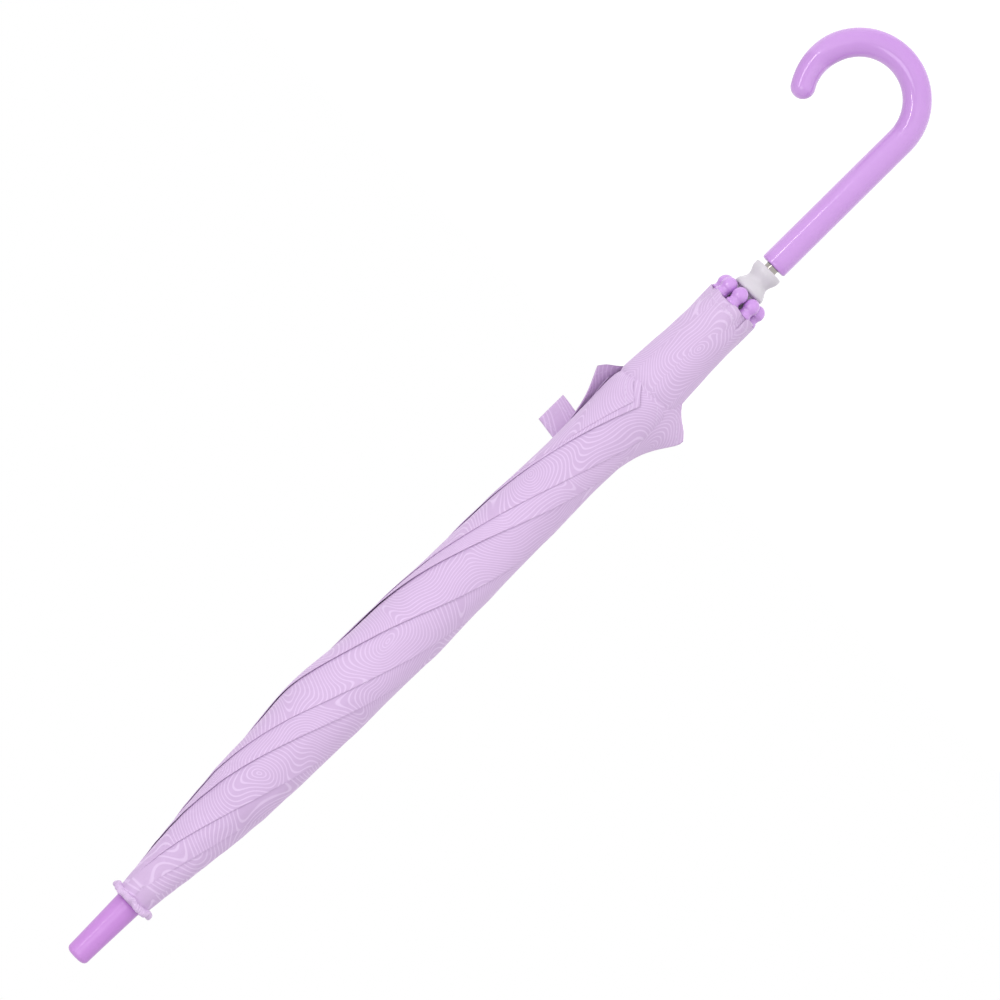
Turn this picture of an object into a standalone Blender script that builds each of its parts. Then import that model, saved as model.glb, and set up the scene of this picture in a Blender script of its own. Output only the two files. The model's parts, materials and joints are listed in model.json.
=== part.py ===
"""Children's stick umbrella, furled, ferrule up: every piece a separate named object.

Metres, +Z up along the shaft. The origin is on the shaft's axis, at the middle of the
handle's straight part. The hook lies in the XZ plane and curls towards +X.
"""

import math

import bmesh
import bpy
from mathutils import Matrix, Vector

# ---- driving sizes ---------------------------------------------------------------------
RIB_COUNT = 8
FIRST_RIB_DEG = 7.5          # azimuth of rib_1, from +X towards +Y
ARM_LENGTH = 0.225           # crown pivot to rib joint, and rib joint to runner pivot
OPEN_DEG = 64.0              # how far a rib swings from furled to open
PIVOT_RADIUS = 0.0070        # wire rings that the ribs and stretchers hang on
ROD_RADIUS = 0.0010          # ribs and stretchers
RIB_BOW = 0.0068             # how far a rib bends outward at its middle
JOINT_INSET = 0.0027         # stretcher pin inside the rib's centreline

BALL_RADIUS = 0.00455
BALL_SPACING_GAP = 0.0004    # between neighbouring ball tips when furled
BALL_ABOVE_FLARE = 0.0046    # ball centre above the runner's upper flare
SHANK_RADIUS = 0.0020
SHANK_LENGTH = 0.0130        # from the ball's centre

SHAFT_RADIUS = 0.0040
SHAFT_WALL = 0.0005
SHAFT_IN_HANDLE = 0.0600
SHAFT_IN_FERRULE = 0.0300

HANDLE_RADIUS = 0.0083
HANDLE_STRAIGHT = 0.0990
HANDLE_END_RADIUS = 0.0070
HANDLE_EDGE = 0.0012         # rounding of the shaft-side face
HOOK_RADIUS = 0.0320         # centreline
HOOK_SWEEP_DEG = 213.0

RUNNER_GAP = 0.0028          # handle face to runner, furled
RUNNER_FOOT_RADIUS = 0.00895
RUNNER_WAIST_RADIUS = 0.0070
RUNNER_FLARE_RADIUS = 0.00985
RUNNER_SLEEVE_RADIUS = 0.0066
SPOOL_HEIGHT = 0.0175        # runner's foot to the top of its upper flare
SLEEVE_HEIGHT = 0.0187       # upper flare to the crown of the runner

CROWN_RADIUS = 0.0089        # top notch and runner crown
CORE_RADIUS = 0.0052         # wall left behind the wire rings
FLANGE = 0.0040
EYE_RADIUS = 0.0015
EYE_THICKNESS = 0.0014
EYE_HOLE = 0.0007
RING_WIRE = 0.00035

RIVET_RADIUS = 0.0005
RIVET_HEAD = 0.0011
RIVET_HEAD_HEIGHT = 0.0005
EAR_THICKNESS = 0.0010
EAR_RADIUS = 0.0016
CHEEK = 0.0007               # wall of the stretcher's fork

RUFFLE_RADIUS = 0.0140
RUFFLE_HEIGHT = 0.0040
PATCH_WALL = 0.0010
PATCH_ABOVE_PIVOT = 0.0010   # the fabric cap ends here, clear of the opened ribs
FERRULE_LENGTH = 0.0427
FERRULE_BASE_RADIUS = 0.00825
FERRULE_END_RADIUS = 0.0071
FERRULE_FLAT_RADIUS = 0.0040
FERRULE_ROUNDING = 0.0028

FABRIC_MIN = 0.0012          # thinnest the furled fabric gets over a rib
HEM_ABOVE_BALL = 0.0074
HEM_CORNER_HEIGHT = 0.0760   # of the corners that stand out, above the hem
HEM_CORNER_LENGTH = 0.0300

CATCH_WIDTH = 0.0012
CATCH_REACH = 0.0050         # tooth tip, from the shaft's axis
CATCH_TOOTH = 0.0050
CATCH_LEAF = 0.0240
CATCH_DEG = 30.0             # azimuth of both catches and of the runner's channel
PIN_RADIUS = 0.0006
STOP_PIN_REACH = 0.0060

STRAP_WIDTH = 0.0200
STRAP_THICKNESS = 0.0010
STRAP_REACH = 0.0315         # how far the loose end stands out towards +X
STRAP_BASE = -0.0030
STRAP_ABOVE_HEM = 0.1125     # middle of the strap's width
SNAP_RADIUS = 0.0045
SNAP_HEIGHT = 0.0012
SOCKET_DEG = 120.0

CLEAR = 0.0003               # between pieces that meet
RUN_CLEAR = 0.00035          # runner on the shaft

# ---- colours ---------------------------------------------------------------------------
LILAC = (0.62, 0.38, 0.80)
LILAC_DEEP = (0.57, 0.28, 0.72)
FABRIC = (0.70, 0.54, 0.77)
WHITE = (0.78, 0.76, 0.78)
STEEL = (0.62, 0.62, 0.64)
CHROME = (0.75, 0.74, 0.72)

# ---- heights that follow from the sizes -------------------------------------------------
HANDLE_TOP = HANDLE_STRAIGHT / 2
RUNNER_FOOT = HANDLE_TOP + RUNNER_GAP
FLARE_TOP = RUNNER_FOOT + SPOOL_HEIGHT
RING_ROOM = EYE_RADIUS + 0.0005                      # half the groove that holds a ring
RUNNER_PIVOT = FLARE_TOP + SLEEVE_HEIGHT + FLANGE + RING_ROOM
TIP_CIRCLE = (BALL_RADIUS + BALL_SPACING_GAP / 2) / math.sin(math.pi / RIB_COUNT)
BALL_HEIGHT = FLARE_TOP + BALL_ABOVE_FLARE
HEM = BALL_HEIGHT + HEM_ABOVE_BALL
STEP_DEG = 360 / RIB_COUNT


def solve_linkage():
    """The furled joint's offset and the crown pivots' height: both arms are ARM_LENGTH long."""
    rise = 2 * ARM_LENGTH
    for _ in range(12):
        drop = RUNNER_PIVOT + rise - BALL_HEIGHT
        share = rise / 2 / drop
        radius = PIVOT_RADIUS + (TIP_CIRCLE - PIVOT_RADIUS) * share
        radius += 4 * RIB_BOW * share * (1 - share)
        offset = radius - JOINT_INSET - PIVOT_RADIUS
        rise = 2 * math.sqrt(ARM_LENGTH**2 - offset**2)
    return offset, rise


JOINT_OFFSET, PIVOT_RISE = solve_linkage()
REST_ANGLE = math.asin(JOINT_OFFSET / ARM_LENGTH)
OPEN_ANGLE = math.radians(OPEN_DEG)
CROWN_PIVOT = RUNNER_PIVOT + PIVOT_RISE
RIB_DROP = CROWN_PIVOT - BALL_HEIGHT
RUNNER_TRAVEL = 2 * ARM_LENGTH * (math.cos(REST_ANGLE) - math.cos(REST_ANGLE + OPEN_ANGLE))
NOTCH_TOP = CROWN_PIVOT + RING_ROOM + FLANGE
PATCH_TOP = NOTCH_TOP + CLEAR + PATCH_WALL
RUFFLE_BASE = PATCH_TOP + CLEAR
FERRULE_BASE = RUFFLE_BASE + RUFFLE_HEIGHT + CLEAR
TIP_TOP = FERRULE_BASE + FERRULE_LENGTH
CHORD_ANGLE = math.atan2(TIP_CIRCLE - PIVOT_RADIUS, RIB_DROP)


def rib_radius(height):
    """Radius of a furled rib's centreline at this height."""
    share = (CROWN_PIVOT - height) / RIB_DROP
    straight = PIVOT_RADIUS + (TIP_CIRCLE - PIVOT_RADIUS) * share
    return straight + 4 * RIB_BOW * share * (1 - share)


def bundle_radius(height):
    """Outer radius of the furled fabric: narrow at the crown, full a third of the way down."""
    outline = (
        (0.00, 0.0112), (0.05, 0.0146), (0.10, 0.0172), (0.17, 0.0200), (0.26, 0.0222),
        (0.50, 0.0218), (0.72, 0.0192), (0.86, 0.0195), (0.93, 0.0180), (1.00, 0.0162),
    )
    share = (CROWN_PIVOT - height) / (CROWN_PIVOT - HEM)
    share = min(max(share, 0), 1)
    radius = outline[-1][1]
    for (low, start), (high, end) in zip(outline, outline[1:]):
        if low <= share <= high:
            radius = start + (end - start) * (share - low) / (high - low)
            break
    return max(radius, fabric_inside(height) + FABRIC_MIN)


def fabric_inside(height):
    """Inner radius of the furled fabric, clear of the rib, the shank and the crown."""
    under = ROD_RADIUS
    if height < BALL_HEIGHT + SHANK_LENGTH + 0.002:
        under = SHANK_RADIUS
    inside = rib_radius(height) + under + 1.5 * CLEAR
    if height > CROWN_PIVOT - RING_ROOM - FLANGE - CLEAR:
        inside = max(inside, CROWN_RADIUS + 1.5 * CLEAR)
    return inside


# ---- tools of this script ----------------------------------------------------------------
def new_collection(name):
    collection = bpy.data.collections.new(name)
    bpy.context.scene.collection.children.link(collection)
    return collection


def new_object(name, mesh, collection):
    obj = bpy.data.objects.new(name, mesh)
    collection.objects.link(obj)
    return obj


def paint(obj, colour, roughness, metallic=0.0):
    material = bpy.data.materials.new(obj.name)
    material.use_nodes = True
    shader = material.node_tree.nodes["Principled BSDF"]
    shader.inputs["Base Color"].default_value = (*colour, 1)
    shader.inputs["Roughness"].default_value = roughness
    shader.inputs["Metallic"].default_value = metallic
    obj.data.materials.clear()
    obj.data.materials.append(material)


def settled(obj, smooth_deg=35):
    """The object with its modifiers turned into its own mesh, and its round faces smooth."""
    graph = bpy.context.evaluated_depsgraph_get()
    mesh = bpy.data.meshes.new_from_object(obj.evaluated_get(graph), depsgraph=graph)
    obj.modifiers.clear()
    obj.data = mesh
    mesh.shade_smooth()
    mesh.set_sharp_from_angle(angle=math.radians(smooth_deg))
    return obj


def turned(name, profile, collection, steps):
    """A profile of (radius, height) points turned about the shaft. It runs down the outer side."""
    touches = profile[0][0] == 0
    mesh = bpy.data.meshes.new(name)
    points = [(radius, 0, height) for radius, height in profile]
    edges = [(i, i + 1) for i in range(len(points) - 1)]
    if not touches:
        edges.append((len(points) - 1, 0))
    mesh.from_pydata(points, edges, [])
    obj = new_object(name, mesh, collection)
    screw = obj.modifiers.new("turn", "SCREW")
    screw.axis = "Z"
    screw.steps = steps
    screw.render_steps = steps
    screw.use_merge_vertices = True
    screw.merge_threshold = 0.00001
    return obj


def tube(name, points, radius, collection, factors=None, sides=8):
    """A round rod along points, as a closed mesh."""
    curve = bpy.data.curves.new(name + "_line", "CURVE")
    curve.dimensions = "3D"
    curve.bevel_depth = radius
    curve.bevel_resolution = (sides - 4) // 2
    curve.use_fill_caps = True
    spline = curve.splines.new("POLY")
    spline.points.add(len(points) - 1)
    for i, point in enumerate(points):
        spline.points[i].co = (*point, 1)
        spline.points[i].radius = factors[i] if factors else 1
    line = new_object(name + "_line", curve, collection)
    graph = bpy.context.evaluated_depsgraph_get()
    mesh = bpy.data.meshes.new_from_object(line.evaluated_get(graph), depsgraph=graph)
    bpy.data.objects.remove(line)
    weld(mesh)
    return new_object(name, mesh, collection)


def weld(mesh):
    work = bmesh.new()
    work.from_mesh(mesh)
    bmesh.ops.remove_doubles(work, verts=work.verts, dist=0.000001)
    bmesh.ops.recalc_face_normals(work, faces=work.faces)
    work.to_mesh(mesh)
    work.free()


def boxes(name, items, collection):
    """One mesh of boxes. Each item is (low corner, high corner, azimuth in degrees)."""
    work = bmesh.new()
    for low, high, azimuth in items:
        middle = (Vector(low) + Vector(high)) / 2
        size = Vector(high) - Vector(low)
        place = Matrix.Rotation(math.radians(azimuth), 4, "Z") @ Matrix.Translation(middle)
        place = place @ Matrix.Diagonal((*size, 1))
        bmesh.ops.create_cube(work, size=1, matrix=place)
    mesh = bpy.data.meshes.new(name)
    work.to_mesh(mesh)
    work.free()
    return new_object(name, mesh, collection)


def rods(name, items, collection, segments=16):
    """One mesh of cylinders. Each item is (middle, direction, radius, length)."""
    work = bmesh.new()
    for middle, direction, radius, length in items:
        turn = Vector((0, 0, 1)).rotation_difference(Vector(direction)).to_matrix().to_4x4()
        bmesh.ops.create_cone(
            work, cap_ends=True, segments=segments, radius1=radius, radius2=radius,
            depth=length, matrix=Matrix.Translation(middle) @ turn,
        )
    mesh = bpy.data.meshes.new(name)
    work.to_mesh(mesh)
    work.free()
    return new_object(name, mesh, collection)


def boolean(obj, other, operation):
    modifier = obj.modifiers.new(operation.lower(), "BOOLEAN")
    modifier.operation = operation
    modifier.object = other
    modifier.solver = "EXACT"


def cut(obj, cutter):
    cutter.hide_render = True
    cutter.display_type = "WIRE"
    boolean(obj, cutter, "DIFFERENCE")


def joined(obj, *others):
    """The union of obj and others, with the others removed."""
    for other in others:
        boolean(obj, other, "UNION")
    settled(obj)
    for other in others:
        bpy.data.objects.remove(other)
    return obj


def azimuth_of(index):
    return math.radians(FIRST_RIB_DEG + STEP_DEG * index)


def placed(name, mesh, index, radius, height, collection):
    """A copy of a mesh made in a rib's own frame, X outward, at this radius and height."""
    obj = new_object(name, mesh, collection)
    angle = azimuth_of(index)
    obj.location = (radius * math.cos(angle), radius * math.sin(angle), height)
    obj.rotation_euler = (0, 0, angle)
    return obj


def arc(centre, radius, start_deg, end_deg, count):
    """Points of an arc as (first, second) coordinates, both ends included."""
    angles = [start_deg + (end_deg - start_deg) * i / (count - 1) for i in range(count)]
    return [
        (centre[0] + radius * math.cos(math.radians(a)), centre[1] + radius * math.sin(math.radians(a)))
        for a in angles
    ]


# ---- the shaft and what is fixed to it --------------------------------------------------
def stop_pin_height():
    return RUNNER_PIVOT + RUNNER_TRAVEL + RING_ROOM + FLANGE + 0.0005 + PIN_RADIUS


def notch_pin_height():
    return CROWN_PIVOT + RING_ROOM + FLANGE / 2


def catch_heights():
    """Middle of the bottom and the top catch's tooth."""
    half = CATCH_TOOTH / 2
    low = RUNNER_FOOT + SPOOL_HEIGHT / 2
    high = RUNNER_FOOT + RUNNER_TRAVEL - 0.0005 - half
    return low, high


def across(azimuth_deg):
    angle = math.radians(azimuth_deg)
    return (math.cos(angle), math.sin(angle), 0)


def make_shaft(parts, cutters):
    inner = SHAFT_RADIUS - SHAFT_WALL
    low = HANDLE_TOP - SHAFT_IN_HANDLE
    high = FERRULE_BASE + SHAFT_IN_FERRULE
    profile = [(SHAFT_RADIUS, high), (SHAFT_RADIUS, low), (inner, low), (inner, high)]
    shaft = turned("shaft_tube", profile, parts, 24)
    slot = CATCH_WIDTH / 2 + CLEAR
    reach = CATCH_TOOTH / 2 + CLEAR
    items = [
        ((1.5 * SHAFT_WALL, -slot, middle - reach), (2 * SHAFT_RADIUS, slot, middle + reach), CATCH_DEG)
        for middle in catch_heights()
    ]
    cut(shaft, boxes("cut_catch_slots", items, cutters))
    hole = PIN_RADIUS + CLEAR
    pins = [
        ((0, 0, notch_pin_height()), across(CATCH_DEG + STEP_DEG), hole, 4 * SHAFT_RADIUS),
        ((0, 0, stop_pin_height()), across(CATCH_DEG + STEP_DEG), hole, 4 * SHAFT_RADIUS),
    ]
    cut(shaft, rods("cut_pin_holes", pins, cutters, 12))
    paint(settled(shaft), CHROME, 0.15, 1.0)


def make_handle(parts, cutters):
    """A round bar with a J hook, drawn down to its rounded end, bored for the shaft."""
    edge = [(HANDLE_RADIUS - HANDLE_EDGE * (1 - math.sin(a)), HANDLE_TOP - HANDLE_EDGE * (1 - math.cos(a)))
            for a in (0, math.pi / 6, math.pi / 3, math.pi / 2)]
    points = [(0, 0, height) for _, height in edge]
    radii = [radius for radius, _ in edge]
    for share in (0.5, 1.0):
        points.append((0, 0, HANDLE_TOP - HANDLE_STRAIGHT * share))
        radii.append(HANDLE_RADIUS)
    turns = 26
    sweep = math.radians(HOOK_SWEEP_DEG)
    for i in range(1, turns + 1):
        angle = sweep * i / turns
        points.append((HOOK_RADIUS * (1 - math.cos(angle)), 0, -HANDLE_TOP - HOOK_RADIUS * math.sin(angle)))
        taper = max(0, (i / turns - 0.8) / 0.2)
        radii.append(HANDLE_RADIUS + (HANDLE_END_RADIUS - HANDLE_RADIUS) * taper)
    along = Vector((math.sin(sweep), 0, -math.cos(sweep)))
    last = Vector(points[-1])
    for degrees in (20, 40, 60, 75, 86):
        angle = math.radians(degrees)
        points.append(tuple(last + along * HANDLE_END_RADIUS * math.sin(angle)))
        radii.append(HANDLE_END_RADIUS * math.cos(angle))
    factors = [radius / HANDLE_RADIUS for radius in radii]
    handle = tube("handle", points, HANDLE_RADIUS, parts, factors, sides=16)
    depth = SHAFT_IN_HANDLE + 0.001
    bore = [((0, 0, HANDLE_TOP + 0.001 - depth / 2), (0, 0, 1), SHAFT_RADIUS + CLEAR, depth + 0.002)]
    cut(handle, rods("cut_handle_bore", bore, cutters, 24))
    paint(settled(handle), LILAC, 0.18)


def make_ferrule(parts):
    bore = SHAFT_RADIUS + CLEAR
    deep = FERRULE_BASE + SHAFT_IN_FERRULE + 0.0015
    rim = FERRULE_END_RADIUS - FERRULE_ROUNDING
    corner = arc((rim, TIP_TOP - FERRULE_ROUNDING), FERRULE_ROUNDING, 70, 0, 5)
    profile = [(0, TIP_TOP), (FERRULE_FLAT_RADIUS, TIP_TOP), *corner,
               (FERRULE_BASE_RADIUS, FERRULE_BASE), (bore, FERRULE_BASE), (bore, deep), (0, deep)]
    paint(settled(turned("ferrule", profile, parts, 24)), LILAC_DEEP, 0.3)


def make_ruffle(parts):
    """The gathered collar: a thick ring, thin at its rim."""
    bore = SHAFT_RADIUS + CLEAR
    top = RUFFLE_BASE + RUFFLE_HEIGHT
    middle = RUFFLE_BASE + RUFFLE_HEIGHT / 2
    rim = RUFFLE_HEIGHT / 4
    profile = [(bore, top), (RUFFLE_RADIUS * 0.7, top), (RUFFLE_RADIUS, middle + rim),
               (RUFFLE_RADIUS, middle - rim), (RUFFLE_RADIUS * 0.7, RUFFLE_BASE), (bore, RUFFLE_BASE)]
    paint(settled(turned("crown_ruffle", profile, parts, 24)), FABRIC, 0.8)


def make_patch(parts):
    """The fabric cap over the top notch, open underneath, where the ribs come out."""
    outer = CROWN_RADIUS + CLEAR + PATCH_WALL
    inner = CROWN_RADIUS + CLEAR
    foot = CROWN_PIVOT + PATCH_ABOVE_PIVOT
    bore = SHAFT_RADIUS + CLEAR
    profile = [(bore, PATCH_TOP), (outer - PATCH_WALL, PATCH_TOP), (outer, PATCH_TOP - PATCH_WALL),
               (outer, foot), (inner, foot), (inner, PATCH_TOP - PATCH_WALL), (bore, PATCH_TOP - PATCH_WALL)]
    paint(settled(turned("crown_patch", profile, parts, 24)), FABRIC, 0.8)


def ring_holder(name, pivot, flange_side, profile, parts, cutters):
    """A turned crown with a groove for the wire ring, and a slot for each rod on flange_side."""
    holder = turned(name, profile, parts, 24)
    half = ROD_RADIUS + CLEAR
    near = pivot + flange_side * (RING_ROOM - 0.0004)
    far = pivot + flange_side * (RING_ROOM + FLANGE + 0.001)
    start = PIVOT_RADIUS - ROD_RADIUS - CLEAR
    items = [
        ((start, -half, min(near, far)), (2 * CROWN_RADIUS, half, max(near, far)),
         math.degrees(azimuth_of(index)))
        for index in range(RIB_COUNT)
    ]
    cut(holder, boxes("cut_" + name + "_slots", items, cutters))
    return holder


def make_top_notch(parts, cutters):
    bore = SHAFT_RADIUS + CLEAR
    low = CROWN_PIVOT - RING_ROOM - FLANGE
    profile = [
        (CROWN_RADIUS, NOTCH_TOP), (CROWN_RADIUS, CROWN_PIVOT + RING_ROOM),
        (CORE_RADIUS, CROWN_PIVOT + RING_ROOM), (CORE_RADIUS, CROWN_PIVOT - RING_ROOM),
        (CROWN_RADIUS, CROWN_PIVOT - RING_ROOM), (CROWN_RADIUS, low), (bore, low), (bore, NOTCH_TOP),
    ]
    notch = ring_holder("top_notch", CROWN_PIVOT, -1, profile, parts, cutters)
    hole = [((0, 0, notch_pin_height()), across(CATCH_DEG + STEP_DEG), PIN_RADIUS + CLEAR, 4 * CROWN_RADIUS)]
    cut(notch, rods("cut_notch_pin", hole, cutters, 12))
    paint(settled(notch), WHITE, 0.4)


def make_ring(name, height, parts):
    bpy.ops.mesh.primitive_torus_add(
        location=(0, 0, height), major_radius=PIVOT_RADIUS, minor_radius=RING_WIRE,
        major_segments=32, minor_segments=6,
    )
    ring = bpy.context.active_object
    ring.name = name
    for collection in list(ring.users_collection):
        collection.objects.unlink(ring)
    parts.objects.link(ring)
    ring.data.shade_smooth()
    paint(ring, STEEL, 0.35, 1.0)
    return ring


def make_pins(parts):
    notch_pin = [((0, 0, 0), across(CATCH_DEG + STEP_DEG), PIN_RADIUS, 2 * (CROWN_RADIUS - CLEAR))]
    stop_pin = [((0, 0, 0), across(CATCH_DEG + STEP_DEG), PIN_RADIUS, 2 * STOP_PIN_REACH)]
    for name, items, height in (("notch_pin", notch_pin, notch_pin_height()),
                                ("stop_pin", stop_pin, stop_pin_height())):
        pin = rods(name, items, parts, 12)
        pin.location = (0, 0, height)
        paint(settled(pin), STEEL, 0.35, 1.0)


def make_catches(parts):
    """Leaf springs inside the tube, each with a tooth that stands out through its slot."""
    inside = SHAFT_RADIUS - SHAFT_WALL
    leaf = (inside - 0.0012, inside - 0.0006)
    half = CATCH_WIDTH / 2
    for name, middle in zip(("bottom_catch", "top_catch"), catch_heights()):
        body = boxes(name, [((leaf[0], -half, -CATCH_LEAF / 2), (leaf[1], half, CATCH_LEAF / 2), 0)], parts)
        tooth = boxes(name + "_tooth", [((leaf[0] + 0.0001, -half, -CATCH_TOOTH / 2),
                                         (CATCH_REACH, half, CATCH_TOOTH / 2), 0)], parts)
        for corner in tooth.data.vertices:
            if corner.co.x > SHAFT_RADIUS and corner.co.z > 0:
                corner.co.z -= CATCH_TOOTH * 0.6
        joined(body, tooth)
        body.location = (0, 0, middle)
        body.rotation_euler = (0, 0, math.radians(CATCH_DEG))
        paint(body, STEEL, 0.3, 1.0)


# ---- the runner ------------------------------------------------------------------------
def make_runner(parts, cutters):
    bore = SHAFT_RADIUS + RUN_CLEAR
    foot = RUNNER_FOOT
    crown = RUNNER_PIVOT - RING_ROOM - FLANGE
    top = RUNNER_PIVOT + RING_ROOM + FLANGE
    bevel = 0.0007
    waist = foot + SPOOL_HEIGHT * 0.54
    spool = []
    for i in range(1, 6):
        share = i / 6
        bend = (1 + math.cos(math.pi * share)) / 2
        spool.append((RUNNER_WAIST_RADIUS + (RUNNER_FLARE_RADIUS - RUNNER_WAIST_RADIUS) * bend,
                      FLARE_TOP - 0.0016 - (FLARE_TOP - 0.0016 - waist) * share))
    spool.append((RUNNER_WAIST_RADIUS, waist))
    for i in range(1, 5):
        share = i / 5
        bend = (1 - math.cos(math.pi * share)) / 2
        spool.append((RUNNER_WAIST_RADIUS + (RUNNER_FOOT_RADIUS - RUNNER_WAIST_RADIUS) * bend,
                      waist - (waist - foot - 0.0022) * share))
    profile = [
        (CROWN_RADIUS, top), (CROWN_RADIUS, RUNNER_PIVOT + RING_ROOM),
        (CORE_RADIUS, RUNNER_PIVOT + RING_ROOM), (CORE_RADIUS, RUNNER_PIVOT - RING_ROOM),
        (CROWN_RADIUS, RUNNER_PIVOT - RING_ROOM), (CROWN_RADIUS, crown + bevel),
        (RUNNER_SLEEVE_RADIUS, crown), (RUNNER_SLEEVE_RADIUS, FLARE_TOP + bevel),
        (RUNNER_FLARE_RADIUS - bevel, FLARE_TOP), (RUNNER_FLARE_RADIUS, FLARE_TOP - bevel), *spool,
        (RUNNER_FOOT_RADIUS, foot + bevel), (RUNNER_FOOT_RADIUS - bevel, foot), (bore, foot), (bore, top),
    ]
    runner = ring_holder("runner", RUNNER_PIVOT, 1, profile, parts, cutters)
    half = CATCH_WIDTH / 2 + CLEAR
    channel = [((0, -half, foot - 0.001), (CATCH_REACH + CLEAR, half, top + 0.001), CATCH_DEG)]
    cut(runner, boxes("cut_runner_channel", channel, cutters))
    paint(settled(runner), WHITE, 0.35)
    ring = make_ring("runner_ring", RUNNER_PIVOT, parts)
    hinge = bpy.data.objects.new("runner_pin", None)
    angle = azimuth_of(0)
    hinge.location = (PIVOT_RADIUS * math.cos(angle), PIVOT_RADIUS * math.sin(angle), RUNNER_PIVOT)
    parts.objects.link(hinge)
    bpy.context.view_layer.update()
    for piece in (runner, ring):
        piece.parent = hinge
        piece.matrix_parent_inverse = hinge.matrix_world.inverted()


# ---- ribs, stretchers, rivets and tips ----------------------------------------------------
def rib_mesh(parts):
    """A rib in its own frame: the crown pivot is the origin, X is outward, Y is along the pin."""
    start = 0.0008
    end = RIB_DROP - BALL_RADIUS * 0.2
    count = 9
    points = []
    for i in range(count):
        drop = start + (end - start) * i / (count - 1)
        points.append((rib_radius(CROWN_PIVOT - drop) - PIVOT_RADIUS, 0, -drop))
    rib = tube("rib_shape", points, ROD_RADIUS, parts)
    joint_drop = PIVOT_RISE / 2
    joint = Vector((JOINT_OFFSET, 0, -joint_drop))
    eye = rods("eye", [((0, 0, 0), (0, 1, 0), EYE_RADIUS, EYE_THICKNESS)], parts)
    ear = rods("ear", [(joint, (0, 1, 0), EAR_RADIUS, EAR_THICKNESS)], parts)
    half = EAR_THICKNESS / 2
    web_low = (JOINT_OFFSET, -half, -joint_drop - EAR_RADIUS * 0.9)
    web_high = (JOINT_OFFSET + JOINT_INSET, half, -joint_drop + EAR_RADIUS * 0.9)
    web = boxes("web", [(web_low, web_high, 0)], parts)
    joined(rib, eye, ear, web)
    holes = [((0, 0, 0), (0, 1, 0), EYE_HOLE, 0.01), (joint, (0, 1, 0), RIVET_RADIUS + CLEAR, 0.01)]
    return bored(rib, holes, parts)


def bored(obj, holes, parts):
    """The object's mesh with these holes through it. The object and its cutter are removed."""
    drill = rods("drill", holes, parts, 12)
    cut(obj, drill)
    mesh = settled(obj).data
    bpy.data.objects.remove(drill)
    bpy.data.objects.remove(obj)
    return mesh


def stretcher_mesh(parts):
    """A stretcher in its own frame: the rib joint is the origin, and the runner end is below."""
    tilt = Vector((-math.sin(REST_ANGLE), 0, -math.cos(REST_ANGLE)))
    slot = EAR_THICKNESS / 2 + CLEAR
    wide = slot + CHEEK
    root = EAR_RADIUS + 2 * CLEAR
    far = tilt * ARM_LENGTH
    rod = tube("stretcher_shape", [tuple(tilt * (root + 0.0006)), tuple(tilt * (ARM_LENGTH - 0.0008))],
               ROD_RADIUS, parts)
    eye = rods("eye", [(far, (0, 1, 0), EYE_RADIUS, EYE_THICKNESS)], parts)
    knuckle = rods("knuckle", [((0, 0, 0), (0, 1, 0), EAR_RADIUS - 0.0001, 2 * wide)], parts)
    fork_half = EAR_RADIUS - 0.0002
    fork = boxes("fork", [((-fork_half, -wide, -root - 0.0014), (fork_half, wide, 0), 0)], parts)
    joined(rod, eye, fork, knuckle)
    gap = boxes("gap", [((-0.01, -slot, -root), (0.01, slot, 0.01), 0)], parts)
    cut(rod, gap)
    settled(rod)
    bpy.data.objects.remove(gap)
    holes = [(far, (0, 1, 0), EYE_HOLE, 0.01), ((0, 0, 0), (0, 1, 0), RIVET_RADIUS + CLEAR, 0.01)]
    return bored(rod, holes, parts)


def rivet_mesh(parts):
    """A pin along Y with a head at each end, made as a turned shape and laid down."""
    grip = EAR_THICKNESS / 2 + CLEAR + CHEEK + CLEAR
    end = grip + RIVET_HEAD_HEIGHT
    profile = [(0, end), (RIVET_HEAD * 0.7, end), (RIVET_HEAD, end - RIVET_HEAD_HEIGHT / 2),
               (RIVET_HEAD, grip), (RIVET_RADIUS, grip), (RIVET_RADIUS, -grip), (RIVET_HEAD, -grip),
               (RIVET_HEAD, -end + RIVET_HEAD_HEIGHT / 2), (RIVET_HEAD * 0.7, -end), (0, -end)]
    rivet = settled(turned("rivet_shape", profile, parts, 8))
    mesh = rivet.data
    mesh.transform(Matrix.Rotation(math.pi / 2, 4, "X"))
    bpy.data.objects.remove(rivet)
    return mesh


def tip_mesh(parts):
    """A ball with a hollow shank that the rib's end sits in. The ball's centre is the origin."""
    socket = ROD_RADIUS + CLEAR
    deep = -BALL_RADIUS * 0.2 + CLEAR
    neck_deg = math.degrees(math.asin(SHANK_RADIUS / BALL_RADIUS))
    ball = [(r, z) for r, z in arc((0, 0), BALL_RADIUS, 90 - neck_deg, -75, 9)]
    profile = [(0, deep), (socket, deep), (socket, SHANK_LENGTH), (SHANK_RADIUS, SHANK_LENGTH), *ball,
               (0, -BALL_RADIUS)]
    tip = settled(turned("tip_shape", profile, parts, 14))
    mesh = tip.data
    tilt = math.atan2(TIP_CIRCLE - rib_radius(BALL_HEIGHT + SHANK_LENGTH), SHANK_LENGTH)
    mesh.transform(Matrix.Rotation(-tilt, 4, "Y"))
    bpy.data.objects.remove(tip)
    return mesh


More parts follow.
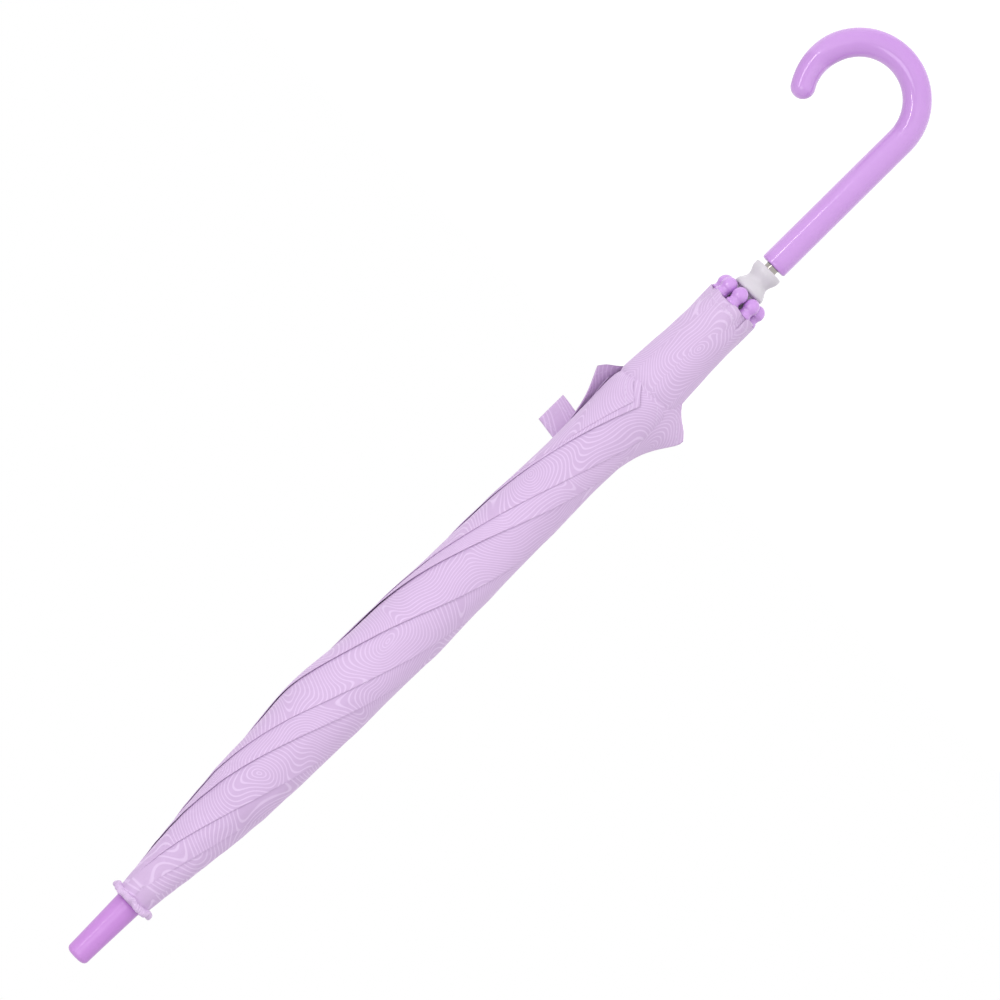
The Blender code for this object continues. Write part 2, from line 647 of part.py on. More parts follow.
def make_ribs(parts):
    rib = rib_mesh(parts)
    stretcher = stretcher_mesh(parts)
    rivet = rivet_mesh(parts)
    tip = tip_mesh(parts)
    joint_radius = PIVOT_RADIUS + JOINT_OFFSET
    joint_height = CROWN_PIVOT - PIVOT_RISE / 2
    for index in range(RIB_COUNT):
        number = str(index + 1)
        piece = placed("rib_" + number, rib.copy(), index, PIVOT_RADIUS, CROWN_PIVOT, parts)
        paint(piece, STEEL, 0.35, 1.0)
        piece = placed("stretcher_" + number, stretcher.copy(), index, joint_radius, joint_height, parts)
        paint(piece, STEEL, 0.35, 1.0)
        piece = placed("joint_rivet_" + number, rivet.copy(), index, joint_radius, joint_height, parts)
        paint(piece, STEEL, 0.35, 1.0)
        piece = placed("rib_tip_" + number, tip.copy(), index, TIP_CIRCLE, BALL_HEIGHT, parts)
        paint(piece, LILAC, 0.2)


# ---- the furled canopy ---------------------------------------------------------------------
def apex_drop():
    """How far above the crown pivots, along a rib's chord, the gores' hinge points lie."""
    return PIVOT_RADIUS / math.sin(CHORD_ANGLE + OPEN_ANGLE)


def hem_corner(height, share, lift):
    """Extra radius of a hem corner that stands out, at this height and share of the gore's arc."""
    along = abs(height - HEM - HEM_CORNER_HEIGHT) / HEM_CORNER_LENGTH
    if lift == 0 or along >= 1:
        return 0
    return lift * (1 - along) * max(0, 1 - abs(share - 0.5) * 3)


def panel_mesh(lift, name):
    """A gore's share of the furled bundle, in its rib's frame: an arc of fabric beside the rib."""
    top = CROWN_PIVOT + PATCH_ABOVE_PIVOT - CLEAR
    corner = HEM + HEM_CORNER_HEIGHT
    levels = [top - (top - HEM) * share for share in (0, 0.025, 0.06, 0.11, 0.2, 0.34, 0.5, 0.64, 0.74)]
    levels += [corner, corner - HEM_CORNER_LENGTH * 0.9, HEM + 0.018, HEM]
    levels = sorted(set(levels), reverse=True)
    outer_shares = [i / 6 for i in range(7)]
    inner_shares = [1, 0.5, 0]
    work = bmesh.new()
    rings = []
    for height in levels:
        outer = bundle_radius(height)
        inner = fabric_inside(height)
        margin = CLEAR / 2 / inner
        reach = math.radians(STEP_DEG) - 2 * margin
        ring = []
        for share in outer_shares:
            radius = outer + hem_corner(height, share, lift)
            ring.append(polar_point(radius, margin + reach * share, height))
        for share in inner_shares:
            widened = inner / math.cos(reach / 4)
            radius = inner if share in (0, 1) else inner
            ring.append(polar_point(max(radius, 0) if share != 0.5 else widened, margin + reach * share, height))
        rings.append([work.verts.new(point) for point in ring])
    for above, below in zip(rings, rings[1:]):
        for i in range(len(above)):
            j = (i + 1) % len(above)
            work.faces.new((above[i], below[i], below[j], above[j]))
    work.faces.new(rings[0])
    work.faces.new(list(reversed(rings[-1])))
    bmesh.ops.recalc_face_normals(work, faces=work.faces)
    mesh = bpy.data.meshes.new(name)
    work.to_mesh(mesh)
    work.free()
    return mesh


def polar_point(radius, angle, height):
    return (radius * math.cos(angle), radius * math.sin(angle), height)


def make_canopy(parts):
    """The gores. Each starts at its rib's azimuth and turns about a point above the crown pivot."""
    back = apex_drop()
    hinge_radius = PIVOT_RADIUS - back * math.sin(CHORD_ANGLE)
    hinge_height = CROWN_PIVOT + back * math.cos(CHORD_ANGLE)
    lifts = {4: 0.0090, 7: 0.0085}
    for index in range(RIB_COUNT):
        mesh = panel_mesh(lifts.get(index, 0), "gore")
        mesh.transform(Matrix.Translation((-hinge_radius, 0, -hinge_height)))
        name = "canopy_panel_" + str(index + 1)
        panel = placed(name, mesh, index, hinge_radius, hinge_height, parts)
        mesh.shade_smooth()
        mesh.set_sharp_from_angle(angle=math.radians(30))
        paint(panel, FABRIC, 0.8)


def make_strap(parts):
    """The closing strap's loose end, tangent to the bundle at its back, and its press stud."""
    middle = HEM + STRAP_ABOVE_HEM
    inside = bundle_radius(middle) + CLEAR
    outside = inside + STRAP_THICKNESS
    half = STRAP_WIDTH / 2
    length = STRAP_REACH - STRAP_BASE
    strap = boxes("tie_strap", [((0, 0, -half), (length, STRAP_THICKNESS, half), 0)], parts)
    bevel = strap.modifiers.new("round", "BEVEL")
    bevel.width = STRAP_THICKNESS / 3
    bevel.segments = 1
    strap.location = (STRAP_BASE, inside, middle)
    paint(settled(strap), FABRIC, 0.8)
    stud_x = STRAP_REACH - half
    stud = snap("snap_stud", parts)
    stud.location = (stud_x, outside + CLEAR, middle)
    stud.rotation_euler = (-math.pi / 2, 0, 0)
    socket = snap("snap_socket", parts)
    angle = math.radians(SOCKET_DEG)
    lean = bundle_radius(middle) + CLEAR
    socket.location = (lean * math.cos(angle), lean * math.sin(angle), middle)
    socket.rotation_euler = (-math.pi / 2, 0, angle - math.pi / 2)


def snap(name, parts):
    """Half a press stud: a low turned button with its back at the origin."""
    profile = [(0, SNAP_HEIGHT), (SNAP_RADIUS * 0.5, SNAP_HEIGHT), (SNAP_RADIUS * 0.6, SNAP_HEIGHT / 2),
               (SNAP_RADIUS, SNAP_HEIGHT / 2), (SNAP_RADIUS, 0), (0, 0)]
    button = settled(turned(name, profile, parts, 16))
    paint(button, WHITE, 0.3)
    return button


def main():
    for obj in list(bpy.data.objects):
        bpy.data.objects.remove(obj)
    parts = new_collection("childrens_umbrella")
    cutters = new_collection("cutters")
    make_shaft(parts, cutters)
    make_handle(parts, cutters)
    make_ferrule(parts)
    make_ruffle(parts)
    make_patch(parts)
    make_top_notch(parts, cutters)
    make_ring("notch_ring", CROWN_PIVOT, parts)
    make_pins(parts)
    make_catches(parts)
    make_runner(parts, cutters)
    make_ribs(parts)
    make_canopy(parts)
    make_strap(parts)


main()
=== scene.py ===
import json
import math

import bpy
from mathutils import Matrix, Vector, noise


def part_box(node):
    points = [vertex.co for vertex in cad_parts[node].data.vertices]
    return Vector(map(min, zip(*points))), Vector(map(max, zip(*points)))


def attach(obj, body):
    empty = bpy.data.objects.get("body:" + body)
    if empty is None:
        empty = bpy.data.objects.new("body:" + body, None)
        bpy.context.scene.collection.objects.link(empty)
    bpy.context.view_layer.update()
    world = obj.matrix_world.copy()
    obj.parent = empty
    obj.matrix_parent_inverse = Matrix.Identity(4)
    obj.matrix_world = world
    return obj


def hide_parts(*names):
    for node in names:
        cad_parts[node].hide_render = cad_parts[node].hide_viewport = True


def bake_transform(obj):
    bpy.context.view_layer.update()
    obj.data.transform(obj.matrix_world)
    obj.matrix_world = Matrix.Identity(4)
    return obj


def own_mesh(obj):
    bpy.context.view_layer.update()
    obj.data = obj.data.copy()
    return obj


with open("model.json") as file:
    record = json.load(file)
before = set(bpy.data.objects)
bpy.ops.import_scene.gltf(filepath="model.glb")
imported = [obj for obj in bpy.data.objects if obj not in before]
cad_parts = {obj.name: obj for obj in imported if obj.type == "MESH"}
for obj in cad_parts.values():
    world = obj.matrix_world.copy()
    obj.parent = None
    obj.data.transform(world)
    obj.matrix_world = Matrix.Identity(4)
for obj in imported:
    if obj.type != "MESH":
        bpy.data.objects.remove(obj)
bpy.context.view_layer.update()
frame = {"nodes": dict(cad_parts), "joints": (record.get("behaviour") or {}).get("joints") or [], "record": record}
joints = {joint["name"]: joint for joint in frame["joints"]}
couplings = {link["joint"]: link for link in frame["record"]["behaviour"]["couplings"]}
ribCount = 8


def azimuthOf(k):
    place = joints["rib_%d_pivot" % k]["pos_m"]
    return math.atan2(place[1], place[0])


crownPivot = Vector(joints["rib_1_pivot"]["pos_m"])
pivotRadius = math.hypot(crownPivot.x, crownPivot.y)
crownZ = crownPivot.z
openAngle = math.radians(joints["rib_1_pivot"]["range_deg"][1])
goreAngle = openAngle * couplings["gore_1_fan"]["ratio"]
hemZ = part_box("canopy_panel_1")[0].z
ballLow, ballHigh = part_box("rib_tip_7")
ballRadius = (ballHigh.x - ballLow.x) / 2
ballZ = ballLow.z + ballRadius
tipCircle = (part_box("rib_tip_1")[1].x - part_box("rib_tip_5")[0].x) / 2
tipCircle = (tipCircle - ballRadius) / math.cos(azimuthOf(1))
ribDrop = crownZ - ballZ
ribBow = 0.0068
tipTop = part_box("ferrule")[1].z
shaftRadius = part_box("shaft_tube")[1].x
print("frame read: crown", round(crownZ, 4), "hem", round(hemZ, 4), "tips", round(tipCircle, 4))


def ribRadius(z):
    share = (crownZ - z) / ribDrop
    return pivotRadius + (tipCircle - pivotRadius) * share + 4 * ribBow * share * (1 - share)


def smooth(x):
    x = min(max(x, 0.0), 1.0)
    return x * x * (3 - 2 * x)


def along(table, x):
    # reads a list of (x, y) with straight lines eased between its points
    if x <= table[0][0]:
        return table[0][1]
    for (x0, y0), (x1, y1) in zip(table, table[1:]):
        if x <= x1:
            return y0 + (y1 - y0) * (0.5 * smooth((x - x0) / (x1 - x0)) + 0.5 * (x - x0) / (x1 - x0))
    return table[-1][1]


def addMesh(name, points, faces):
    mesh = bpy.data.meshes.new(name)
    mesh.from_pydata([tuple(p) for p in points], [], faces)
    mesh.update()
    obj = bpy.data.objects.new(name, mesh)
    bpy.context.scene.collection.objects.link(obj)
    mesh.shade_smooth()
    return obj


def gridFaces(rows, columns, closed=False, start=0):
    faces = []
    for r in range(rows - 1):
        for c in range(columns if closed else columns - 1):
            d = (c + 1) % columns
            faces.append((start + r * columns + c, start + (r + 1) * columns + c,
                          start + (r + 1) * columns + d, start + r * columns + d))
    return faces


def turnedPiece(name, profile, steps=64, wobble=None):
    # turns (radius, height) points about Z; the profile runs down the outer side
    points = []
    for radius, z in profile:
        for s in range(steps):
            angle = 2 * math.pi * s / steps
            r, h = wobble(radius, z, angle) if wobble else (radius, z)
            points.append((r * math.cos(angle), r * math.sin(angle), h))
    return addMesh(name, points, gridFaces(len(profile), steps, True))


def roundedProfile(points, radius, pieces=4):
    # rounds every inner corner of a (radius, height) profile
    out = [points[0]]
    for before, here, after in zip(points, points[1:], points[2:]):
        a = Vector(before) - Vector(here)
        b = Vector(after) - Vector(here)
        reach = min(radius, a.length * 0.45, b.length * 0.45)
        p0 = Vector(here) + a.normalized() * reach
        p2 = Vector(here) + b.normalized() * reach
        for i in range(pieces + 1):
            t = i / pieces
            p = p0 * (1 - t) ** 2 + Vector(here) * 2 * t * (1 - t) + p2 * t * t
            out.append((p.x, p.y))
    out.append(points[-1])
    return out


def tubePiece(name, points, radii, sides=40):
    # a round bar along points, with a ring per point that never twists
    verts = []
    side = Vector((0, 1, 0))
    for i, point in enumerate(points):
        ahead = Vector(points[min(i + 1, len(points) - 1)]) - Vector(points[max(i - 1, 0)])
        other = side.cross(ahead.normalized())
        for s in range(sides):
            angle = 2 * math.pi * s / sides
            verts.append(Vector(point) + (side * math.cos(angle) + other * math.sin(angle)) * radii[i])
    faces = gridFaces(len(points), sides, True)
    last = len(points) - 1
    faces.append(tuple(reversed(range(sides))))
    faces.append(tuple(last * sides + s for s in range(sides)))
    return addMesh(name, verts, faces)


def dress(obj, material, body, *nodes, slot=None):
    # gives a made piece its material, its body and the pieces it stands for
    obj.data.materials.clear()
    obj.data.materials.append(material)
    if body:
        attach(obj, body)
    if nodes:
        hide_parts(*nodes)
    return obj


def newMaterial(name):
    material = bpy.data.materials.new(name)
    material.use_nodes = True
    nodes = material.node_tree.nodes
    links = material.node_tree.links
    return material, nodes, links, nodes["Principled BSDF"]


def mathNode(nodes, links, kind, first, second=None, third=None):
    node = nodes.new("ShaderNodeMath")
    node.operation = kind
    for i, value in enumerate((first, second, third)):
        if value is None:
            continue
        if isinstance(value, (int, float)):
            node.inputs[i].default_value = value
        else:
            links.new(value, node.inputs[i])
    return node.outputs[0]


def mixColour(nodes, links, factor, first, second):
    node = nodes.new("ShaderNodeMix")
    node.data_type = "RGBA"
    if isinstance(factor, (int, float)):
        node.inputs[0].default_value = factor
    else:
        links.new(factor, node.inputs[0])
    for i, value in ((6, first), (7, second)):
        if isinstance(value, tuple):
            node.inputs[i].default_value = (*value, 1)
        else:
            links.new(value, node.inputs[i])
    return node.outputs[2]


def noiseNode(nodes, links, vector, scale, detail=2.0, rough=0.5, kind="3D"):
    node = nodes.new("ShaderNodeTexNoise")
    node.noise_dimensions = kind
    node.inputs["Scale"].default_value = scale
    node.inputs["Detail"].default_value = detail
    node.inputs["Roughness"].default_value = rough
    if vector is not None:
        links.new(vector, node.inputs["Vector"])
    return node.outputs["Fac"]


def bumpNode(nodes, links, height, strength, distance, normal=None):
    node = nodes.new("ShaderNodeBump")
    node.inputs["Strength"].default_value = strength
    node.inputs["Distance"].default_value = distance
    links.new(height, node.inputs["Height"])
    if normal is not None:
        links.new(normal, node.inputs["Normal"])
    return node.outputs["Normal"]


def clothMaterial(name, look):
    # thin printed polyester: a plain weave, pale wandering lines, a turned hem with its stitches
    material, nodes, links, shader = newMaterial(name)
    flat = nodes.new("ShaderNodeUVMap")
    flat.uv_map = "flat"
    split = nodes.new("ShaderNodeSeparateXYZ")
    links.new(flat.outputs[0], split.inputs[0])
    hem = nodes.new("ShaderNodeUVMap")
    hem.uv_map = "hem"
    hemSplit = nodes.new("ShaderNodeSeparateXYZ")
    links.new(hem.outputs[0], hemSplit.inputs[0])
    # the print: evenly spaced rings round scattered centres, pushed about until they run in long bends
    push = nodes.new("ShaderNodeTexNoise")
    push.noise_dimensions = "2D"
    push.inputs["Scale"].default_value = look["bends"]
    push.inputs["Detail"].default_value = 1.0
    links.new(flat.outputs[0], push.inputs["Vector"])
    shift = nodes.new("ShaderNodeVectorMath")
    shift.operation = "MULTIPLY_ADD"
    shift.inputs[1].default_value = (look["push"], look["push"], 0)
    links.new(push.outputs["Color"], shift.inputs[0])
    links.new(flat.outputs[0], shift.inputs[2])
    rings = nodes.new("ShaderNodeTexVoronoi")
    rings.voronoi_dimensions = "2D"
    rings.feature = "SMOOTH_F1"
    rings.inputs["Scale"].default_value = look["centres"]
    rings.inputs["Smoothness"].default_value = 0.22
    links.new(shift.outputs[0], rings.inputs["Vector"])
    height = mathNode(nodes, links, "MULTIPLY", rings.outputs["Distance"], look["lines"] / look["centres"])
    wave = mathNode(nodes, links, "PINGPONG", height, 0.5)
    edge = nodes.new("ShaderNodeMapRange")
    edge.interpolation_type = "SMOOTHSTEP"
    edge.inputs["From Min"].default_value = 0.5 - look["lineShare"] - 0.07
    edge.inputs["From Max"].default_value = 0.5 - look["lineShare"] + 0.07
    links.new(wave, edge.inputs["Value"])
    line = edge.outputs["Result"]
    patchy = noiseNode(nodes, links, flat.outputs[0], 9.0, 3.0, 0.6, "2D")
    ground = mixColour(nodes, links, patchy, look["ground"], look["groundDeep"])
    printed = mixColour(nodes, links, line, ground, look["line"])
    # weave threads, far apart enough to catch light on a close view
    warp = mathNode(nodes, links, "MULTIPLY", split.outputs[0], look["threads"])
    weft = mathNode(nodes, links, "MULTIPLY", split.outputs[1], look["threads"])
    across = mathNode(nodes, links, "SINE", warp)
    down = mathNode(nodes, links, "SINE", weft)
    weave = mathNode(nodes, links, "MULTIPLY", across, down)
    weaveShade = mathNode(nodes, links, "MULTIPLY_ADD", weave, 0.035, 0.035)
    cloth = mixColour(nodes, links, weaveShade, printed, look["groundDeep"])
    # the hem: a turned edge, and stitches most of the way across it
    stitchLength = 0.0026
    edgeDistance = hemSplit.outputs[1]
    inHem = mathNode(nodes, links, "LESS_THAN", edgeDistance, look["hemWidth"])
    nearStitch = mathNode(nodes, links, "COMPARE", edgeDistance, look["hemWidth"] * 0.72, 0.00035)
    dash = mathNode(nodes, links, "MULTIPLY", hemSplit.outputs[0], 2 * math.pi / stitchLength)
    dash = mathNode(nodes, links, "SINE", dash)
    dash = mathNode(nodes, links, "GREATER_THAN", dash, -0.45)
    stitch = mathNode(nodes, links, "MULTIPLY", nearStitch, dash)
    hemShade = mathNode(nodes, links, "MULTIPLY", inHem, 0.15)
    stitchShade = mathNode(nodes, links, "MULTIPLY", stitch, 0.3)
    cloth = mixColour(nodes, links, hemShade, cloth, look["groundDeep"])
    cloth = mixColour(nodes, links, stitchShade, cloth, look["thread"])
    links.new(cloth, shader.inputs["Base Color"])
    crease = noiseNode(nodes, links, flat.outputs[0], 55.0, 4.0, 0.6, "2D")
    normal = bumpNode(nodes, links, weave, 0.18, 0.00005)
    normal = bumpNode(nodes, links, crease, 0.35, 0.0012, normal)
    normal = bumpNode(nodes, links, inHem, 0.5, 0.0003, normal)
    normal = bumpNode(nodes, links, stitch, 0.6, 0.0003, normal)
    links.new(normal, shader.inputs["Normal"])
    shader.inputs["Roughness"].default_value = 0.62
    shader.inputs["Specular IOR Level"].default_value = 0.35
    shader.inputs["Sheen Weight"].default_value = 0.25
    shader.inputs["Sheen Roughness"].default_value = 0.4
    shader.inputs["Sheen Tint"].default_value = (0.95, 0.85, 1.0, 1)
    return material


def plasticMaterial(name, look):
    # moulded plastic: faint cloudiness, soft swirls in the gloss and hairline scuffs
    material, nodes, links, shader = newMaterial(name)
    where = nodes.new("ShaderNodeTexCoord").outputs["Object"]
    cloud = noiseNode(nodes, links, where, look.get("cloud", 38.0), 4.0, 0.55)
    colour = mixColour(nodes, links, cloud, look["colour"], look["deep"])
    links.new(colour, shader.inputs["Base Color"])
    swirl = noiseNode(nodes, links, where, 120.0, 5.0, 0.6)
    gloss = nodes.new("ShaderNodeMapRange")
    gloss.inputs["To Min"].default_value = look["rough"] * 0.8
    gloss.inputs["To Max"].default_value = look["rough"] * 1.25
    links.new(swirl, gloss.inputs["Value"])
    links.new(gloss.outputs["Result"], shader.inputs["Roughness"])
    fine = noiseNode(nodes, links, where, 900.0, 3.0, 0.6)
    normal = bumpNode(nodes, links, fine, look.get("grain", 0.05), 0.0001)
    normal = bumpNode(nodes, links, cloud, 0.06, 0.0006, normal)
    links.new(normal, shader.inputs["Normal"])
    shader.inputs["IOR"].default_value = 1.5
    shader.inputs["Coat Weight"].default_value = look.get("coat", 0.4)
    shader.inputs["Coat Roughness"].default_value = 0.05
    shader.inputs["Coat Tint"].default_value = look.get("tint", (0.92, 0.84, 0.94, 1))
    shader.inputs["Subsurface Weight"].default_value = look.get("soft", 0.0)
    shader.inputs["Subsurface Radius"].default_value = (0.004, 0.003, 0.004)
    return material


def metalMaterial(name, look):
    # drawn or plated metal: lines along its length, and patches of a second colour; on the steel these are duller
    # patches, on the plated tube the near-black second colour is a painted reflection of dark surroundings
    material, nodes, links, shader = newMaterial(name)
    where = nodes.new("ShaderNodeTexCoord").outputs["Object"]
    stretch = nodes.new("ShaderNodeMapping")
    stretch.inputs["Scale"].default_value = (1, 1, 0.03)
    links.new(where, stretch.inputs["Vector"])
    drawn = noiseNode(nodes, links, stretch.outputs[0], 1500.0, 3.0, 0.6)
    patch = noiseNode(nodes, links, where, 60.0, 4.0, 0.6)
    # the patches mix in the second colour: duller wear on the steel, a painted dark reflection on the plated tube
    colour = mixColour(nodes, links, patch, look["colour"], look["deep"])
    links.new(colour, shader.inputs["Base Color"])
    gloss = nodes.new("ShaderNodeMapRange")
    gloss.inputs["To Min"].default_value = look["rough"] * 0.7
    gloss.inputs["To Max"].default_value = look["rough"] * 1.4
    links.new(patch, gloss.inputs["Value"])
    links.new(gloss.outputs["Result"], shader.inputs["Roughness"])
    links.new(bumpNode(nodes, links, drawn, 0.08, 0.0001), shader.inputs["Normal"])
    shader.inputs["Metallic"].default_value = 1.0
    return material


clothLook = {
    "ground": (0.625, 0.455, 0.685), "groundDeep": (0.575, 0.410, 0.640), "line": (0.702, 0.537, 0.766),
    "bends": 21.0, "push": 0.030, "centres": 13.0, "lines": 500.0, "lineShare": 0.140,
    "threads": 2 * math.pi / 0.0009, "hemWidth": 0.0060, "thread": (0.80, 0.68, 0.88),
}
cloth = clothMaterial("printedCloth", clothLook)
lilac = plasticMaterial("lilacPlastic", {
    "colour": (0.625, 0.360, 0.755), "deep": (0.590, 0.325, 0.725),
    "rough": 0.24, "coat": 1.0, "soft": 0.05})
ferruleLilac = plasticMaterial("ferruleLilac", {
    "colour": (0.590, 0.285, 0.690), "deep": (0.530, 0.230, 0.640),
    "rough": 0.32, "coat": 0.2, "grain": 0.10})
ballLilac = plasticMaterial("ballLilac", {
    "colour": (0.665, 0.395, 0.800), "deep": (0.590, 0.310, 0.740),
    "rough": 0.22, "coat": 1.0, "cloud": 90.0})
white = plasticMaterial("whitePlastic", {
    "colour": (0.660, 0.635, 0.665), "deep": (0.620, 0.595, 0.630),
    "rough": 0.30, "coat": 0.2, "soft": 0.05})
steel = metalMaterial("drawnSteel", {
    "colour": (0.52, 0.52, 0.54), "deep": (0.40, 0.40, 0.42), "rough": 0.28})
# the plated tube's near-black second colour, laid in patches, is a painted reflection of dark surroundings
chrome = metalMaterial("platedTube", {
    "colour": (0.62, 0.59, 0.56), "deep": (0.16, 0.14, 0.12), "rough": 0.12})
print("materials made")


def makeHandle():
    low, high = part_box("handle")
    look = {"bar": -low.x, "hook": 0.0324, "sweep": math.radians(212), "end": 0.0071, "edge": 0.0014}
    points, radii = [], []
    straightEnd = low.z + look["bar"] + look["hook"] - 0.0016
    bore = shaftRadius + 0.0003
    points += [(0, 0, high.z - 0.0045), (0, 0, high.z - 0.0006), (0, 0, high.z)]
    radii += [bore, bore, bore + 0.0005]
    for i in range(7):
        a = math.pi / 2 * i / 6
        points.append((0, 0, high.z - look["edge"] * (1 - math.cos(a))))
        radii.append(look["bar"] - look["edge"] * (1 - math.sin(a)))
    for i in range(1, 25):
        points.append((0, 0, high.z - look["edge"] + (straightEnd - high.z + look["edge"]) * i / 24))
        radii.append(look["bar"])
    turns = 90
    for i in range(1, turns + 1):
        a = look["sweep"] * i / turns
        points.append((look["hook"] * (1 - math.cos(a)), 0, straightEnd - look["hook"] * math.sin(a)))
        radii.append(look["bar"] + (look["end"] - look["bar"]) * smooth((i / turns - 0.72) / 0.28))
    ahead = Vector((math.sin(look["sweep"]), 0, -math.cos(look["sweep"])))
    last = Vector(points[-1])
    for i in range(1, 15):
        a = math.pi / 2 * i / 14.3
        points.append(tuple(last + ahead * look["end"] * math.sin(a)))
        radii.append(look["end"] * math.cos(a))
    obj = tubePiece("handle_grip", points, radii, 56)
    dress(obj, lilac, "shaft", "handle", slot="lilac_plastic")
    print("handle made")


def makeFerrule():
    low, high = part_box("ferrule")
    look = {"base": high.x, "end": 0.0071, "flat": 0.0040}
    top = high.z
    profile = [(0.00001, top - 0.00002), (look["flat"] * 0.6, top - 0.00003), (look["flat"], top - 0.00008)]
    for i in range(1, 13):
        a = math.radians(90 - 90 * i / 12)
        out = look["flat"] + (look["end"] - look["flat"]) * math.cos(a)
        profile.append((out, top - 0.0030 + 0.0029 * math.sin(a)))
    for i in range(1, 17):
        share = i / 16
        profile.append((look["end"] + (look["base"] - look["end"]) * share ** 1.15,
                        top - 0.0030 + (low.z - top + 0.0030) * share))
    profile += [(look["base"] - 0.0003, low.z - 0.0001), (look["base"] - 0.0012, low.z - 0.0001),
                (shaftRadius + 0.0003, low.z), (shaftRadius + 0.0003, low.z + 0.006)]
    obj = turnedPiece("ferrule_cap", profile, 72)
    dress(obj, ferruleLilac, "shaft", "ferrule", slot="ferrule_plastic")
    print("ferrule made")


def makeRuffle():
    # the gathered collar of cloth between the ferrule and the gores, pleated all round
    low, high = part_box("crown_ruffle")
    look = {"rim": high.x + 0.0004, "pleats": 31, "depth": 0.0004, "waves": 5, "sway": 0.0012}
    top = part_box("ferrule")[0].z - 0.0001
    bottom = low.z - 0.0012
    inner = shaftRadius + 0.0030
    rows, columns = 40, 360
    points, flat, hem = [], [], []
    for r in range(rows):
        share = r / (rows - 1)
        # out along the top, over the rounded rim, and back underneath
        out = math.sin(math.pi * share) ** 0.6
        height = math.copysign(abs(math.cos(math.pi * share)) ** 0.8, 0.5 - share)
        for c in range(columns + 1):
            angle = 2 * math.pi * c / columns
            spot = Vector((2 * math.cos(angle), 2 * math.sin(angle), 1.7))
            slow = noise.noise(spot)
            wave = math.sin(look["waves"] * angle + 3 * slow)
            pleat = math.sin(look["pleats"] * angle + 6 * noise.noise(spot * 1.7))
            # finely pleated in places only
            strong = smooth(0.5 + 2.5 * noise.noise(spot * 0.8 + Vector((4, 1, 0))))
            radius = inner + (look["rim"] - inner) * out
            radius += out * out * (0.0007 * wave + look["depth"] * strong * pleat + 0.0012 * slow)
            z = (top + bottom) / 2 + (top - bottom) / 2 * height * (0.45 + 0.55 * out)
            lift = look["depth"] * strong * math.sin(look["pleats"] * angle + 1.4)
            z += out * out * (look["sway"] * wave + lift)
            z += (top - z) * smooth(1 - share / 0.12)
            points.append((radius * math.cos(angle), radius * math.sin(angle), z))
            flat.append((0.13 * c / columns * 1.4, 0.030 * share))
            hem.append((0.2 * c / columns, 0.02))
    obj = addMesh("collar_cloth", points, gridFaces(rows, columns + 1))
    putUv(obj, flat, hem)
    dress(obj, cloth, "shaft", "crown_ruffle", slot="canopy_cloth")
    print("collar made")


def putUv(obj, flat, hem):
    for name, values in (("flat", flat), ("hem", hem)):
        layer = obj.data.uv_layers.new(name=name)
        for loop in obj.data.loops:
            layer.data[loop.index].uv = values[loop.vertex_index]


def makeShaft():
    low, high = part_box("shaft_tube")
    inner = shaftRadius - 0.0005
    profile = [(inner, high.z - 0.02), (inner, high.z)]
    profile += [(shaftRadius, high.z), (shaftRadius, low.z), (inner, low.z), (inner, low.z + 0.02)]
    rows = []
    for (r0, z0), (r1, z1) in zip(profile, profile[1:]):
        rows += [(r0 + (r1 - r0) * i / 10, z0 + (z1 - z0) * i / 10) for i in range(10)]
    obj = turnedPiece("shaft_bright", rows, 40)
    dress(obj, chrome, "shaft", "shaft_tube", slot="bright_tube")
    print("shaft made")


def makeRunner():
    low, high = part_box("runner")
    look = {"foot": 0.00895, "waist": 0.0070, "flare": high.x, "spoolHeight": 0.0175,
            "sleeve": 0.0066, "crown": 0.0089, "core": 0.0052}
    flareTop = low.z + look["spoolHeight"]
    pivotZ = joints["runner_pin"]["pos_m"][2]
    bore = shaftRadius + 0.00035
    profile = [(bore, high.z - 0.004), (bore, high.z),
               (look["crown"], high.z), (look["crown"], pivotZ + 0.002),
               (look["core"], pivotZ + 0.002), (look["core"], pivotZ - 0.002),
               (look["crown"], pivotZ - 0.002), (look["crown"], pivotZ - 0.006),
               (look["sleeve"], pivotZ - 0.0062), (look["sleeve"], flareTop + 0.0004),
               (look["flare"] - 0.0009, flareTop), (look["flare"], flareTop - 0.0009)]
    profile = roundedProfile(profile, 0.0005)
    waist = low.z + look["spoolHeight"] * 0.52
    upper = flareTop - 0.0016       # where the hollow starts, and where it ends
    lower = low.z + 0.0024
    for i in range(1, 20):
        share = i / 20
        bend = 0.5 + 0.5 * math.cos(math.pi * share)
        radius = look["waist"] + (look["flare"] - look["waist"]) * bend
        profile.append((radius, upper - (upper - waist) * share))
    for i in range(16):
        share = i / 15
        bend = 0.5 - 0.5 * math.cos(math.pi * share)
        radius = look["waist"] + (look["foot"] - look["waist"]) * bend
        profile.append((radius, waist - (waist - lower) * share))
    profile += roundedProfile([(look["foot"], low.z + 0.0018), (look["foot"], low.z + 0.0001),
                               (bore, low.z), (bore, low.z + 0.004)], 0.0007)
    obj = turnedPiece("runner_spool", profile, 64)
    dress(obj, white, "runner_slide", "runner", slot="white_plastic")
    print("runner made")


